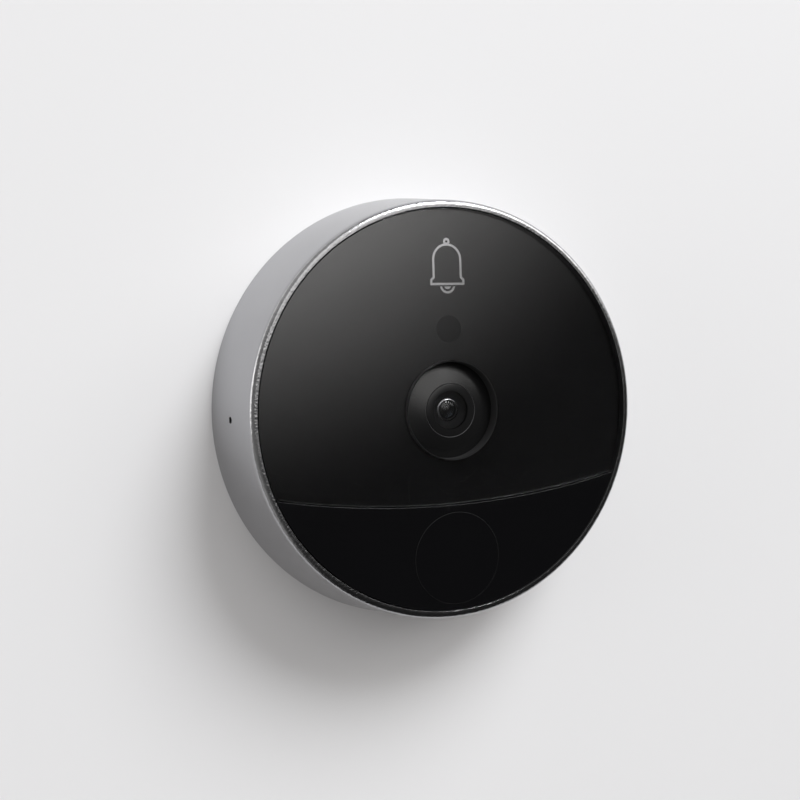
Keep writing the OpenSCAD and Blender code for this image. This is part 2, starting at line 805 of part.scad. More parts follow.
module bell_switch() {
    top_z = board_z + switch_h;
    color([0.2, 0.2, 0.2]) facing() difference() {
        block([switch_w, switch_w], [0, bell_y], board_z, top_z);
        translate([0, bell_y, 0])
            disc(plunger_d / 2 + plunger_run, top_z - plunger_hole - plunger_room, top_z + past);
    }
}

module switch_plunger() {
    color("ivory") facing()
        translate([0, bell_y, 0]) disc(plunger_d / 2, board_z + switch_h - plunger_hole, plunger_z);
}

module ir_led() {
    color("lightyellow") facing() block([lamp_w, lamp_w], [0, dot_y], board_z, board_z + lamp_h);
}

module light_guide() {
    color("white", 0.5) facing() translate([0, dot_y, 0]) {
        disc(guide_d / 2, board_z + lamp_h, chassis_z);
        disc(guide_d / 2 + guide_flange_w, chassis_back_z - guide_flange_t, chassis_back_z);
    }
}

module image_sensor() {
    color([0.1, 0.15, 0.2]) facing()
        block([sensor_chip_l, sensor_chip_w], [0, 0], board_z, board_z + sensor_chip_t);
}

module lens_holder() {
    slot_l = shutter_l + shutter_travel + 2 * shutter_gap;
    slot_w = shutter_w + 2 * shutter_gap;
    color([0.09, 0.09, 0.09]) facing() difference() {
        union() {
            block([holder_l, holder_w], [0, 0], board_z, holder_z);
            block([holder_l + 2 * ear_l, ear_l], [0, 0], board_z, board_z + ear_t);
            disc(tower_r, holder_z, tower_z);
        }
        block([sensor_chip_l + 2 * chip_room, sensor_chip_w + 2 * chip_room], [0, 0], board_z - past, slot_z);
        block([slot_l, slot_w], [0, 0], slot_z - seat_fit, slot_top_z);
        disc(rear_lens_d / 2 + seat_fit, slot_z, tower_z);
        disc(lens_thread_d / 2 + seat_fit, lens_foot_z, tower_z + past);
        at_both_sides(ear_x, 0) disc(small_screw_d / 2 + screw_gap / 2, board_z - past, holder_z);
    }
}

// Both filter places in the shutter: the first covers the sensor by day, the second by night
module at_filters() {
    for (x = [0, -shutter_travel]) translate([x, 0, slot_z + shutter_gap]) children();
}

module ir_cut_slider() {
    color("dimgray") facing() difference() {
        block([shutter_l, shutter_w], [-shutter_travel / 2, 0], slot_z + shutter_gap, slot_top_z - shutter_gap);
        at_filters() disc(filter_d / 2 - shutter_gap, -past, shutter_t + past);
        at_filters() disc(filter_d / 2 + seat_fit, shutter_t - filter_t, shutter_t + past);
    }
}

module ir_cut_filters() {
    color("lightcyan", 0.5) facing() at_filters() disc(filter_d / 2, shutter_t - filter_t, shutter_t);
}

module ir_cut_coil() {
    color("peru") facing()
        block([coil_l, coil_w], [0, (holder_w + coil_w) / 2], board_z, board_z + coil_h);
}

module lens_barrel() {
    rest_z = front_lens_z;
    mouth_r = front_lens_d / 2 + front_lens_t + front_lens_rise;
    color([0.06, 0.06, 0.06]) facing() difference() {
        union() {
            disc(lens_thread_d / 2, lens_foot_z, tower_z);
            disc(lens_head_r, tower_z, lens_head_z);
        }
        disc(light_path_d / 2, lens_foot_z - past, lens_head_z + past);
        disc(rear_lens_d / 2 + seat_fit, lens_foot_z - past, lens_foot_z + rear_lens_t / 2);
        disc(front_lens_d / 2 + seat_fit, rest_z, lens_head_z + past);
        translate([0, 0, rest_z + front_lens_t])
            cylinder(r1 = front_lens_d / 2 + seat_fit, r2 = mouth_r, h = lens_head_z - rest_z - front_lens_t);
    }
}

module front_lens() {
    edge_z = front_lens_z + front_lens_t;
    edge_r = front_lens_d / 2;
    cap_r = (edge_r * edge_r + front_lens_rise * front_lens_rise) / (2 * front_lens_rise);
    color("lightblue", 0.5) facing() {
        disc(edge_r, front_lens_z, edge_z);
        intersection() {
            disc(edge_r, edge_z, edge_z + front_lens_rise + past);
            translate([0, 0, edge_z + front_lens_rise - cap_r]) sphere(r = cap_r);
        }
    }
}

module rear_lens() {
    color("lightblue", 0.5) facing()
        disc(rear_lens_d / 2, lens_foot_z - rear_lens_t / 2, lens_foot_z + rear_lens_t / 2);
}

module camera_screws() {
    head_z = board_z + ear_t;
    color("silver") facing() at_both_sides(ear_x, 0) difference() {
        union() {
            disc(small_screw_d / 2, board_back_z, head_z);
            disc(small_head_d / 2, head_z, head_z + small_head_h);
        }
        translate([0, 0, head_z + small_head_h / 2])
            cylinder(d = small_screw_d, h = small_head_h, $fn = 6);
    }
}

module pir_sensor() {
    top_z = chassis_back_z - can_drop;
    foot_z = max(board_z, top_z - can_h);
    color("silver") facing() translate([0, pir_y, 0]) difference() {
        union() {
            disc(can_d / 2 + can_flange_w, board_z, foot_z + can_flange_t);
            disc(can_d / 2, foot_z, top_z);
        }
        block([can_window_w, can_window_h], [0, 0], top_z - can_window_depth, top_z + past);
    }
}

module microphone() {
    color("gold") facing() block([mic_l, mic_w], [mic_x, 0], board_z, board_z + mic_h);
}

module mic_boot() {
    inner_x = boot_reach - board_r;
    top_z = ledge_back_z - seat_fit;
    port_z = board_z + mic_h;
    color([0.25, 0.25, 0.25]) facing() difference() {
        intersection() {
            translate([-cavity_r, -boot_w / 2, board_z]) cube([cavity_r + inner_x, boot_w, top_z - board_z]);
            disc(cavity_r - seat_fit, board_z, top_z);
        }
        block([mic_l + 2 * seat_fit, mic_w + 2 * seat_fit], [mic_x, 0], board_z - past, port_z);
        translate([mic_x + mic_hole_d, 0, mic_z]) rotate([0, -90, 0]) cylinder(d = mic_hole_d, h = cavity_r);
        translate([mic_x, 0, port_z - seat_fit]) cylinder(d = mic_port_d, h = mic_z - port_z);
    }
}

module speaker() {
    color([0.3, 0.3, 0.3]) facing()
        block([speaker_l, speaker_w], [0, speaker_y + speaker_w / 2], rear_t, board_back_z - speaker_room);
}

module speaker_duct() {
    top_z = board_back_z - speaker_room;
    color([0.25, 0.25, 0.25]) facing() difference() {
        intersection() {
            translate([-duct_w / 2, -cavity_r, rear_t]) cube([duct_w, cavity_r + speaker_y, top_z - rear_t]);
            disc(cavity_r - seat_fit, rear_t, top_z);
        }
        translate([duct_wall - duct_w / 2, -cavity_r - past, rear_t + duct_wall])
            cube([duct_w - 2 * duct_wall, cavity_r + 2 * past, top_z - rear_t - 2 * duct_wall]);
    }
}

module cable_socket() {
    low_z = board_back_z - socket_h;
    color("ivory") facing() difference() {
        block([socket_l, socket_w], [0, 0], low_z, board_back_z);
        block([socket_l - 2 * socket_wall, socket_slot], [0, 0], low_z - past, board_back_z - socket_wall);
    }
}

module rear_cover() {
    sink = screw_sink + screw_head_h;
    color([0.1, 0.1, 0.1]) facing() difference() {
        union() {
            disc(rear_seat_r - rear_gap, rear_recess, rear_t - seal_t);
            disc(cavity_r - rear_gap, rear_recess, rear_t);
            at_posts() disc(post_d / 2, rear_recess, board_back_z);
            disc(boss_r, rear_recess, rear_t + barrel_bite);
        }
        disc(barrel_seat_r + seat_fit, -past, board_back_z);
        disc(barrel_flange_d / 2 + seat_fit, -past, rear_recess + barrel_flange_t);
        ring(pad_d / 2 + seat_fit, pad_hole_d / 2 - seat_fit, -past, pad_t);
        at_posts() disc(screw_head_d / 2 + screw_gap, -past, sink);
        at_posts() disc(screw_d / 2 + screw_gap, -past, board_back_z + past);
    }
}

module rear_seal() {
    color([0.2, 0.2, 0.2]) facing()
        ring(rear_seat_r - rear_gap, cavity_r, rear_t - seal_t, rear_t);
}

module cover_screws() {
    neck_z = screw_sink + screw_head_h;
    color("silver") facing() at_posts() difference() {
        union() {
            disc(screw_head_d / 2, screw_sink, neck_z);
            disc(screw_d / 2, screw_sink, board_z + screw_bite);
        }
        translate([0, 0, screw_sink - past])
            cylinder(d = screw_d, h = past + screw_head_h / 2, $fn = 6);
    }
}

module door_pad() {
    color([0.15, 0.15, 0.15]) facing() ring(pad_d / 2, pad_hole_d / 2, 0, pad_t);
}

module door_barrel() {
    top_z = rear_t + barrel_bite;
    start_z = barrel_chamfer - barrel_l;
    flank_l = (thread_pitch - thread_crest - thread_floor) / 2;
    grooves = floor((rear_recess - thread_neck - start_z) / thread_pitch);
    // The grooves leave at least half of the wall
    floor_r = max(barrel_r - thread_depth, (barrel_r + barrel_bore_d / 2) / 2);
    thread = [
        for (i = [0:grooves - 1])
            let (z = start_z + i * thread_pitch + thread_crest)
            each [
                [barrel_r, z],
                [floor_r, z + flank_l],
                [floor_r, z + flank_l + thread_floor],
                [barrel_r, z + 2 * flank_l + thread_floor],
            ]
    ];
    foot = [
        [barrel_bore_d / 2, -barrel_l],
        [barrel_r - barrel_chamfer, -barrel_l],
        [barrel_r, start_z],
    ];
    head = [
        [barrel_r, rear_recess],
        [barrel_flange_d / 2, rear_recess],
        [barrel_flange_d / 2, rear_recess + barrel_flange_t],
        [barrel_seat_r, rear_recess + barrel_flange_t],
        [barrel_seat_r, top_z],
        [barrel_bore_d / 2, top_z],
    ];
    color("silver") facing() rotate_extrude() polygon(concat(foot, thread, head));
}

housing_shell();
bell_cover();
bell_icon();
bell_base();
sensor_window();
pir_panel();
pir_lens();
lens_bezel();
lens_window();
window_seal();
front_chassis();
chassis_seal();
hinge_pins();
main_board();
board_chips();
processor_shield();
bell_switch();
switch_plunger();
ir_led();
light_guide();
image_sensor();
lens_holder();
ir_cut_slider();
ir_cut_filters();
ir_cut_coil();
lens_barrel();
front_lens();
rear_lens();
camera_screws();
pir_sensor();
microphone();
mic_boot();
speaker();
speaker_duct();
cable_socket();
rear_cover();
rear_seal();
cover_screws();
door_pad();
door_barrel();
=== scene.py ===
import json
import math

import bpy
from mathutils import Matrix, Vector


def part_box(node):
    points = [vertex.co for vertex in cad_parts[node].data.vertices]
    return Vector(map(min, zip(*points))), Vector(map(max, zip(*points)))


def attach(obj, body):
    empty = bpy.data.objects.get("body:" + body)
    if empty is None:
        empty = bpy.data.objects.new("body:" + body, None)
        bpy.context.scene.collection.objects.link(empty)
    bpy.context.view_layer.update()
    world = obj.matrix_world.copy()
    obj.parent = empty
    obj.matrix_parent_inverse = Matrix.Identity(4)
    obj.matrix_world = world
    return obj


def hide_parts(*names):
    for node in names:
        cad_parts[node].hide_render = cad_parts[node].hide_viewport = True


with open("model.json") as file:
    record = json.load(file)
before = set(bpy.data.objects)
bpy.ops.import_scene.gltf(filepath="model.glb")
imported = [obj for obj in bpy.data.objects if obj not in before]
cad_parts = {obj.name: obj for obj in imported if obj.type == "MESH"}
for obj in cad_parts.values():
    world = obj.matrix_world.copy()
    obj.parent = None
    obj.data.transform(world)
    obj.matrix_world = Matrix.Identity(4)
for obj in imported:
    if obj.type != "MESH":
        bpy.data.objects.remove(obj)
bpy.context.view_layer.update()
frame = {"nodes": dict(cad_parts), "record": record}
print("frame loaded:", len(frame["nodes"]), "nodes")

mm = 0.001
slotOf = {row["node"]: row["material_slot"] for row in frame["record"]["subparts"]}
bodyOf = {
    node: body
    for body, members in frame["record"]["behaviour"]["bodies"].items()
    for node in members
}


# camera, wall and light

cameraLook = {
    "place": (-77.32, -175.71, 11.41),  # mm
    "turn": (86.96, 1.83, -23.07),  # degrees
    "lens": 49.5,
    "sensor": 36,
    "near": 0.01,
}


def makeCamera():
    bpy.ops.object.camera_add(
        location=[v * mm for v in cameraLook["place"]],
        rotation=[math.radians(a) for a in cameraLook["turn"]],
    )
    camera = bpy.context.object
    camera.data.lens = cameraLook["lens"]
    camera.data.sensor_width = cameraLook["sensor"]
    camera.data.clip_start = cameraLook["near"]
    bpy.context.scene.camera = camera


skyLook = {
    "dim": 0.02,
    "tint": (1.0, 0.985, 0.97, 1),
    # soft patches of light: direction, angles of the full and the faded edge, falloff, level
    "patches": {
        "front": ((0.16, -0.90, 0.38), 18, 33, 2.6, 1.30),
        "left": ((-0.98, -0.12, 0.15), 6, 22, 1.5, 2.4),
        "leftLow": ((-0.72, -0.28, -0.63), 10, 28, 1.0, 0.30),
        "right": ((0.76, -0.38, 0.52), 8, 24, 1.2, 3.0),
        "topLeft": ((-0.45, -0.32, 0.83), 14, 42, 1.0, 0.38),
        "fill": ((-0.76, -0.64, 0.10), 25, 56, 1.0, 0.20),
        "behind": ((-0.45, 0.80, 0.40), 25, 75, 1.0, 1.8),
    },
    "backdrop": (0.86, 0.86, 0.87, 1),
}


def makeSky():
    world = bpy.data.worlds.new("softRoom")
    bpy.context.scene.world = world
    world.use_nodes = True
    tree = world.node_tree
    tree.nodes.clear()
    look = tree.nodes.new("ShaderNodeTexCoord")
    total = None
    for aim, full, faded, falloff, level in skyLook["patches"].values():
        near = tree.nodes.new("ShaderNodeVectorMath")
        near.operation = "DOT_PRODUCT"
        near.inputs[1].default_value = Vector(aim).normalized()
        edge = tree.nodes.new("ShaderNodeMapRange")
        edge.inputs["From Min"].default_value = math.cos(math.radians(faded))
        edge.inputs["From Max"].default_value = math.cos(math.radians(full))
        fade = tree.nodes.new("ShaderNodeMath")
        fade.operation = "POWER"
        fade.inputs[1].default_value = falloff
        add = tree.nodes.new("ShaderNodeMath")
        add.operation = "MULTIPLY_ADD"
        add.inputs[1].default_value = level
        add.inputs[2].default_value = skyLook["dim"]
        tree.links.new(look.outputs["Generated"], near.inputs[0])
        tree.links.new(near.outputs["Value"], edge.inputs["Value"])
        tree.links.new(edge.outputs[0], fade.inputs[0])
        tree.links.new(fade.outputs[0], add.inputs[0])
        if total is not None:
            tree.links.new(total, add.inputs[2])
        total = add.outputs[0]
    room = tree.nodes.new("ShaderNodeBackground")
    room.inputs["Color"].default_value = skyLook["tint"]
    tree.links.new(total, room.inputs["Strength"])
    plain = tree.nodes.new("ShaderNodeBackground")
    plain.inputs["Color"].default_value = skyLook["backdrop"]
    rays = tree.nodes.new("ShaderNodeLightPath")
    pick = tree.nodes.new("ShaderNodeMixShader")
    tree.links.new(rays.outputs["Is Camera Ray"], pick.inputs[0])
    tree.links.new(room.outputs[0], pick.inputs[1])
    tree.links.new(plain.outputs[0], pick.inputs[2])
    out = tree.nodes.new("ShaderNodeOutputWorld")
    tree.links.new(pick.outputs[0], out.inputs["Surface"])


lampLook = {
    "keyBox": {
        "place": (0.892, -1.291, 1.858), "size": 1.35, "power": 57.6,
        "tint": (0.98, 0.99, 1.0), "mirrored": True,
    },
    # behind the camera, and not mirrored in metal or glass
    "fillBox": {
        "place": (-0.56, -1.27, 0.08), "size": 0.6, "power": 2.4,
        "tint": (1.0, 0.96, 0.94), "mirrored": False,
    },
}


def makeLamps():
    for name, lamp in lampLook.items():
        bpy.ops.object.light_add(type="AREA", location=lamp["place"])
        light = bpy.context.object
        light.name = name
        light.data.shape = "DISK"
        light.data.size = lamp["size"]
        light.data.energy = lamp["power"]
        light.data.color = lamp["tint"]
        light.visible_glossy = light.visible_transmission = lamp["mirrored"]
        light.rotation_euler = Vector(lamp["place"]).to_track_quat("Z", "Y").to_euler()


wallLook = {
    "size": 2.4,
    "face": -0.08 * mm,  # just in front of the foam's back, so that light reaches it from behind
    "tone": (0.80, 0.80, 0.81, 1),
    "rough": 0.7,
}


def makeWall():
    bpy.ops.object.select_all(action="DESELECT")
    bpy.ops.mesh.primitive_plane_add(
        size=wallLook["size"],
        location=(0, wallLook["face"], 0),
        rotation=(math.pi / 2, 0, 0),
    )
    wall = bpy.context.object
    wall.name = "wall"
    bpy.ops.object.transform_apply()
    paint = bpy.data.materials.new("wallPaint")
    paint.use_nodes = True
    tree = paint.node_tree
    shader = tree.nodes["Principled BSDF"]
    shader.inputs["Base Color"].default_value = wallLook["tone"]
    shader.inputs["Roughness"].default_value = wallLook["rough"]
    # the wall is seen from the front only, so the back of the part stays in view
    behind = tree.nodes.new("ShaderNodeNewGeometry")
    clear = tree.nodes.new("ShaderNodeBsdfTransparent")
    pick = tree.nodes.new("ShaderNodeMixShader")
    tree.links.new(behind.outputs["Backfacing"], pick.inputs[0])
    tree.links.new(shader.outputs[0], pick.inputs[1])
    tree.links.new(clear.outputs[0], pick.inputs[2])
    tree.links.new(pick.outputs[0], tree.nodes["Material Output"].inputs["Surface"])
    wall.data.materials.append(paint)


makeCamera()
makeSky()
makeLamps()
makeWall()
bpy.context.scene.view_settings.view_transform = "Standard"
print("camera, wall and light set")


# shared surface effects

def makeGroup(name, inputs, outputs):
    group = bpy.data.node_groups.new(name, "ShaderNodeTree")
    for label, value in inputs.items():
        kind = "NodeSocketColor" if isinstance(value, tuple) else "NodeSocketFloat"
        socket = group.interface.new_socket(name=label, in_out="INPUT", socket_type=kind)
        socket.default_value = value
    for label, kind in outputs.items():
        group.interface.new_socket(name=label, in_out="OUTPUT", socket_type=kind)
    start = group.nodes.new("NodeGroupInput")
    end = group.nodes.new("NodeGroupOutput")
    spot = group.nodes.new("ShaderNodeTexCoord")
    return group, start, end, spot.outputs["Object"]


def makeToneDrift():
    # two tones that drift into each other over the surface
    group, start, end, spot = makeGroup(
        "toneDrift",
        {"Light Tone": (1, 1, 1, 1), "Dark Tone": (0, 0, 0, 1), "Scale": 60.0},
        {"Color": "NodeSocketColor"},
    )
    noise = group.nodes.new("ShaderNodeTexNoise")
    noise.inputs["Detail"].default_value = 3
    mix = group.nodes.new("ShaderNodeMix")
    mix.data_type = "RGBA"
    group.links.new(spot, noise.inputs["Vector"])
    group.links.new(start.outputs["Scale"], noise.inputs["Scale"])
    group.links.new(noise.outputs["Fac"], mix.inputs["Factor"])
    group.links.new(start.outputs["Dark Tone"], mix.inputs["A"])
    group.links.new(start.outputs["Light Tone"], mix.inputs["B"])
    group.links.new(mix.outputs["Result"], end.inputs["Color"])
    return group


def makeHandling():
    # uneven gloss from moulding, wiping and fingers
    group, start, end, spot = makeGroup(
        "handling",
        {"Low": 0.1, "High": 0.2, "Scale": 90.0},
        {"Roughness": "NodeSocketFloat"},
    )
    noise = group.nodes.new("ShaderNodeTexNoise")
    noise.inputs["Detail"].default_value = 4
    noise.inputs["Distortion"].default_value = 0.6
    spread = group.nodes.new("ShaderNodeMapRange")
    spread.inputs["From Min"].default_value = 0.3
    spread.inputs["From Max"].default_value = 0.7
    group.links.new(spot, noise.inputs["Vector"])
    group.links.new(start.outputs["Scale"], noise.inputs["Scale"])
    group.links.new(noise.outputs["Fac"], spread.inputs["Value"])
    group.links.new(start.outputs["Low"], spread.inputs["To Min"])
    group.links.new(start.outputs["High"], spread.inputs["To Max"])
    group.links.new(spread.outputs[0], end.inputs["Roughness"])
    return group


def makeGrain():
    # fine blasted, moulded or foamed grain
    group, start, end, spot = makeGroup(
        "grain", {"Scale": 5000.0, "Detail": 2.0}, {"Height": "NodeSocketFloat"}
    )
    noise = group.nodes.new("ShaderNodeTexNoise")
    group.links.new(spot, noise.inputs["Vector"])
    group.links.new(start.outputs["Scale"], noise.inputs["Scale"])
    group.links.new(start.outputs["Detail"], noise.inputs["Detail"])
    group.links.new(noise.outputs["Fac"], end.inputs["Height"])
    return group


def makeDust():
    # a few tiny specks, one to a cell at most
    group, start, end, spot = makeGroup(
        "dust", {"Scale": 160.0, "Size": 0.03, "Share": 0.2}, {"Mask": "NodeSocketFloat"}
    )
    cells = group.nodes.new("ShaderNodeTexVoronoi")
    shade = group.nodes.new("ShaderNodeSeparateColor")
    near = group.nodes.new("ShaderNodeMath")
    near.operation = "LESS_THAN"
    few = group.nodes.new("ShaderNodeMath")
    few.operation = "LESS_THAN"
    both = group.nodes.new("ShaderNodeMath")
    both.operation = "MULTIPLY"
    group.links.new(spot, cells.inputs["Vector"])
    group.links.new(start.outputs["Scale"], cells.inputs["Scale"])
    group.links.new(cells.outputs["Distance"], near.inputs[0])
    group.links.new(start.outputs["Size"], near.inputs[1])
    group.links.new(cells.outputs["Color"], shade.inputs[0])
    group.links.new(shade.outputs[0], few.inputs[0])
    group.links.new(start.outputs["Share"], few.inputs[1])
    group.links.new(near.outputs[0], both.inputs[0])
    group.links.new(few.outputs[0], both.inputs[1])
    group.links.new(both.outputs[0], end.inputs["Mask"])
    return group


toneDrift = makeToneDrift()
handling = makeHandling()
grain = makeGrain()
dust = makeDust()


# finishes: one for each slot of the record, and some for single faces

speckTone = (0.12, 0.12, 0.12, 1)


def placeGroup(tree, group, **values):
    node = tree.nodes.new("ShaderNodeGroup")
    node.node_tree = group
    for label, value in values.items():
        node.inputs[label.replace("_", " ")].default_value = value
    return node


def makeFinish(name, look):
    finish = bpy.data.materials.new(name)
    finish.use_nodes = True
    tree = finish.node_tree
    shader = tree.nodes["Principled BSDF"]
    shader.inputs["Metallic"].default_value = look.get("metal", 0)
    shader.inputs["IOR"].default_value = look.get("ior", 1.5)
    shader.inputs["Specular IOR Level"].default_value = look.get("specular", 0.5)
    shader.inputs["Transmission Weight"].default_value = look.get("clear", 0)
    light, dark = look["tones"]
    tone = placeGroup(
        tree, toneDrift, Light_Tone=(*light, 1), Dark_Tone=(*dark, 1),
        Scale=look.get("toneScale", 70),
    )
    colour = tone.outputs["Color"]
    if "dust" in look:
        specks = placeGroup(tree, dust, Share=look["dust"])
        mix = tree.nodes.new("ShaderNodeMix")
        mix.data_type = "RGBA"
        mix.inputs["B"].default_value = speckTone
        tree.links.new(specks.outputs["Mask"], mix.inputs["Factor"])
        tree.links.new(colour, mix.inputs["A"])
        colour = mix.outputs["Result"]
    tree.links.new(colour, shader.inputs["Base Color"])
    low, high = look["rough"]
    touch = placeGroup(tree, handling, Low=low, High=high, Scale=look.get("roughScale", 90))
    tree.links.new(touch.outputs["Roughness"], shader.inputs["Roughness"])
    if "grain" in look:
        scale, depth = look["grain"]
        rough = placeGroup(tree, grain, Scale=scale)
        bump = tree.nodes.new("ShaderNodeBump")
        bump.inputs["Distance"].default_value = depth * mm
        tree.links.new(rough.outputs["Height"], bump.inputs["Height"])
        tree.links.new(bump.outputs["Normal"], shader.inputs["Normal"])
    return finish


finishLooks = {
    "anodised_aluminium": {
        "tones": ((0.43, 0.43, 0.444), (0.38, 0.38, 0.393)), "metal": 1,
        "rough": (0.20, 0.26), "grain": (4600, 0.018), "toneScale": 120,
    },
    "blasted_rim": {
        "tones": ((0.50, 0.50, 0.51), (0.35, 0.35, 0.36)), "metal": 1,
        "rough": (0.17, 0.23), "grain": (2600, 0.05), "toneScale": 900,
    },
    "smoked_acrylic": {
        "tones": ((0.95, 0.95, 0.955), (0.91, 0.91, 0.92)), "clear": 1, "ior": 1.6,
        "rough": (0.02, 0.03), "roughScale": 40,
    },
    "bright_foil": {
        "tones": ((0.97, 0.97, 0.98), (0.80, 0.80, 0.81)), "metal": 1,
        "rough": (0.03, 0.07), "toneScale": 300,
    },
    "black_gloss": {
        "tones": ((0.0115, 0.0115, 0.012), (0.0095, 0.0095, 0.010)),
        "rough": (0.07, 0.10), "dust": 0.15, "specular": 0.55,
    },
    "dark_filter": {
        "tones": ((0.004, 0.004, 0.005), (0.002, 0.002, 0.003)), "specular": 0.1,
        "rough": (0.30, 0.40),
    },
    "panel_black": {
        "tones": ((0.0035, 0.0035, 0.004), (0.0025, 0.0025, 0.003)),
        "rough": (0.06, 0.09), "dust": 0.15, "specular": 0.8,
    },
    "black_satin": {
        "tones": ((0.0045, 0.0045, 0.005), (0.003, 0.003, 0.0035)), "rough": (0.08, 0.12),
        "dust": 0.1,
    },
    "black_textured": {
        "tones": ((0.009, 0.009, 0.0093), (0.006, 0.006, 0.0062)), "rough": (0.18, 0.24),
        "grain": (5200, 0.024), "specular": 0.65,
    },
    "clear_glass": {
        "tones": ((0.97, 0.98, 0.98), (0.94, 0.95, 0.96)), "clear": 1, "ior": 1.52,
        "rough": (0.0, 0.012), "roughScale": 200, "specular": 0.25,
    },
    "filter_glass": {
        "tones": ((0.45, 0.75, 0.85), (0.40, 0.70, 0.80)), "clear": 1, "ior": 1.5,
        "rough": (0.0, 0.015),
    },
    "black_rubber": {
        "tones": ((0.022, 0.022, 0.022), (0.014, 0.014, 0.014)), "rough": (0.62, 0.78),
        "grain": (3500, 0.008),
    },
    "black_nylon": {
        "tones": ((0.030, 0.030, 0.031), (0.022, 0.022, 0.023)), "rough": (0.42, 0.54),
        "grain": (4200, 0.010),
    },
    "plain_steel": {
        "tones": ((0.62, 0.62, 0.63), (0.52, 0.52, 0.54)), "metal": 1, "rough": (0.22, 0.34),
        "grain": (2400, 0.003), "toneScale": 400,
    },
    "board_laminate": {
        "tones": ((0.020, 0.090, 0.045), (0.012, 0.060, 0.030)), "rough": (0.30, 0.42),
        "grain": (1800, 0.006), "toneScale": 500,
    },
    "chip_resin": {
        "tones": ((0.028, 0.028, 0.030), (0.020, 0.020, 0.022)), "rough": (0.45, 0.56),
        "grain": (5200, 0.006),
    },
    "tinned_steel": {
        "tones": ((0.66, 0.66, 0.65), (0.56, 0.56, 0.55)), "metal": 1, "rough": (0.26, 0.38),
        "grain": (1600, 0.004), "toneScale": 250,
    },
    "ivory_plastic": {
        "tones": ((0.62, 0.58, 0.48), (0.56, 0.52, 0.42)), "rough": (0.36, 0.46),
        "grain": (4200, 0.006),
    },
    "lamp_resin": {
        "tones": ((0.09, 0.05, 0.11), (0.06, 0.03, 0.08)), "rough": (0.08, 0.16),
    },
    "clear_plastic": {
        "tones": ((0.93, 0.94, 0.95), (0.88, 0.89, 0.91)), "clear": 1, "ior": 1.49,
        "rough": (0.04, 0.10),
    },
    "sensor_die": {
        "tones": ((0.07, 0.09, 0.11), (0.04, 0.05, 0.07)), "rough": (0.12, 0.20),
        "toneScale": 600,
    },
    "copper_wire": {
        "tones": ((0.62, 0.27, 0.13), (0.50, 0.20, 0.09)), "metal": 1, "rough": (0.24, 0.36),
        "grain": (3000, 0.02),
    },
    "black_aluminium": {
        "tones": ((0.030, 0.030, 0.031), (0.022, 0.022, 0.0227)), "rough": (0.40, 0.50),
        "grain": (6000, 0.005), "specular": 0.02,
    },
    "polished_lip": {
        "tones": ((0.28, 0.28, 0.29), (0.22, 0.22, 0.228)), "metal": 1, "rough": (0.16, 0.24),
    },
    "coated_glass": {
        "tones": ((0.36, 0.39, 0.44), (0.30, 0.33, 0.38)), "clear": 1, "ior": 1.52,
        "rough": (0.0, 0.012), "roughScale": 200, "specular": 0.10,
    },
    # dull black print on edges and the collar; on the motion lens's edge it is a painted highlight
    "print_and_edge_highlight": {
        "tones": ((0.026, 0.026, 0.0267), (0.020, 0.020, 0.0205)), "rough": (0.45, 0.55),
        "specular": 0.04,
    },
    "soft_black": {
        "tones": ((0.060, 0.060, 0.0615), (0.050, 0.050, 0.0512)), "rough": (0.45, 0.55),
        "specular": 0.04,
    },
    "window_black": {
        "tones": ((0.010, 0.010, 0.0103), (0.008, 0.008, 0.0082)), "rough": (0.03, 0.05),
        "specular": 0.35,
    },
    # lighter grey for the edge round the camera window: a painted highlight
    "window_highlight_ring": {
        "tones": ((0.078, 0.078, 0.08), (0.060, 0.060, 0.062)), "rough": (0.45, 0.55),
        "specular": 0.25,
    },
    "gold_plate": {
        "tones": ((0.80, 0.60, 0.26), (0.70, 0.50, 0.20)), "metal": 1, "rough": (0.20, 0.30),
    },
    "speaker_steel": {
        "tones": ((0.34, 0.34, 0.35), (0.26, 0.26, 0.27)), "metal": 1, "rough": (0.34, 0.46),
        "grain": (2600, 0.006),
    },
    "barrel_metal": {
        "tones": ((0.58, 0.58, 0.60), (0.48, 0.48, 0.50)), "metal": 1, "rough": (0.24, 0.36),
        "grain": (3600, 0.003), "toneScale": 200,
    },
    "foam_rubber": {
        "tones": ((0.034, 0.034, 0.034), (0.018, 0.018, 0.018)), "rough": (0.82, 0.94),
        "grain": (2200, 0.05), "toneScale": 900,
    },
}
finishes = {slot: makeFinish(slot, look) for slot, look in finishLooks.items()}
for name, node in frame["nodes"].items():
    for socket in node.material_slots:
        socket.material = finishes[slotOf[name]]
print("finishes made:", len(finishes))


# modelling helpers: pieces are made lying down, front upwards, and stood up at the end

weld = 1e-7
flatAngle = 0.004
smoothAngle = 32


def pickOnly(piece):
    if bpy.context.mode != "OBJECT":
        bpy.ops.object.mode_set(mode="OBJECT")
    bpy.ops.object.select_all(action="DESELECT")
    piece.select_set(True)
    bpy.context.view_layer.objects.active = piece


def span(node):
    # radius, back and front of a round node, in mm
    low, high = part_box(node)
    return high.x / mm, -high.y / mm, -low.y / mm


def arc(centre, radius, first, last, steps):
    angles = [first + (last - first) * i / steps for i in range(steps + 1)]
    return [
        (
            centre[0] + radius * math.cos(math.radians(a)),
            centre[1] + radius * math.sin(math.radians(a)),
        )
        for a in angles
    ]


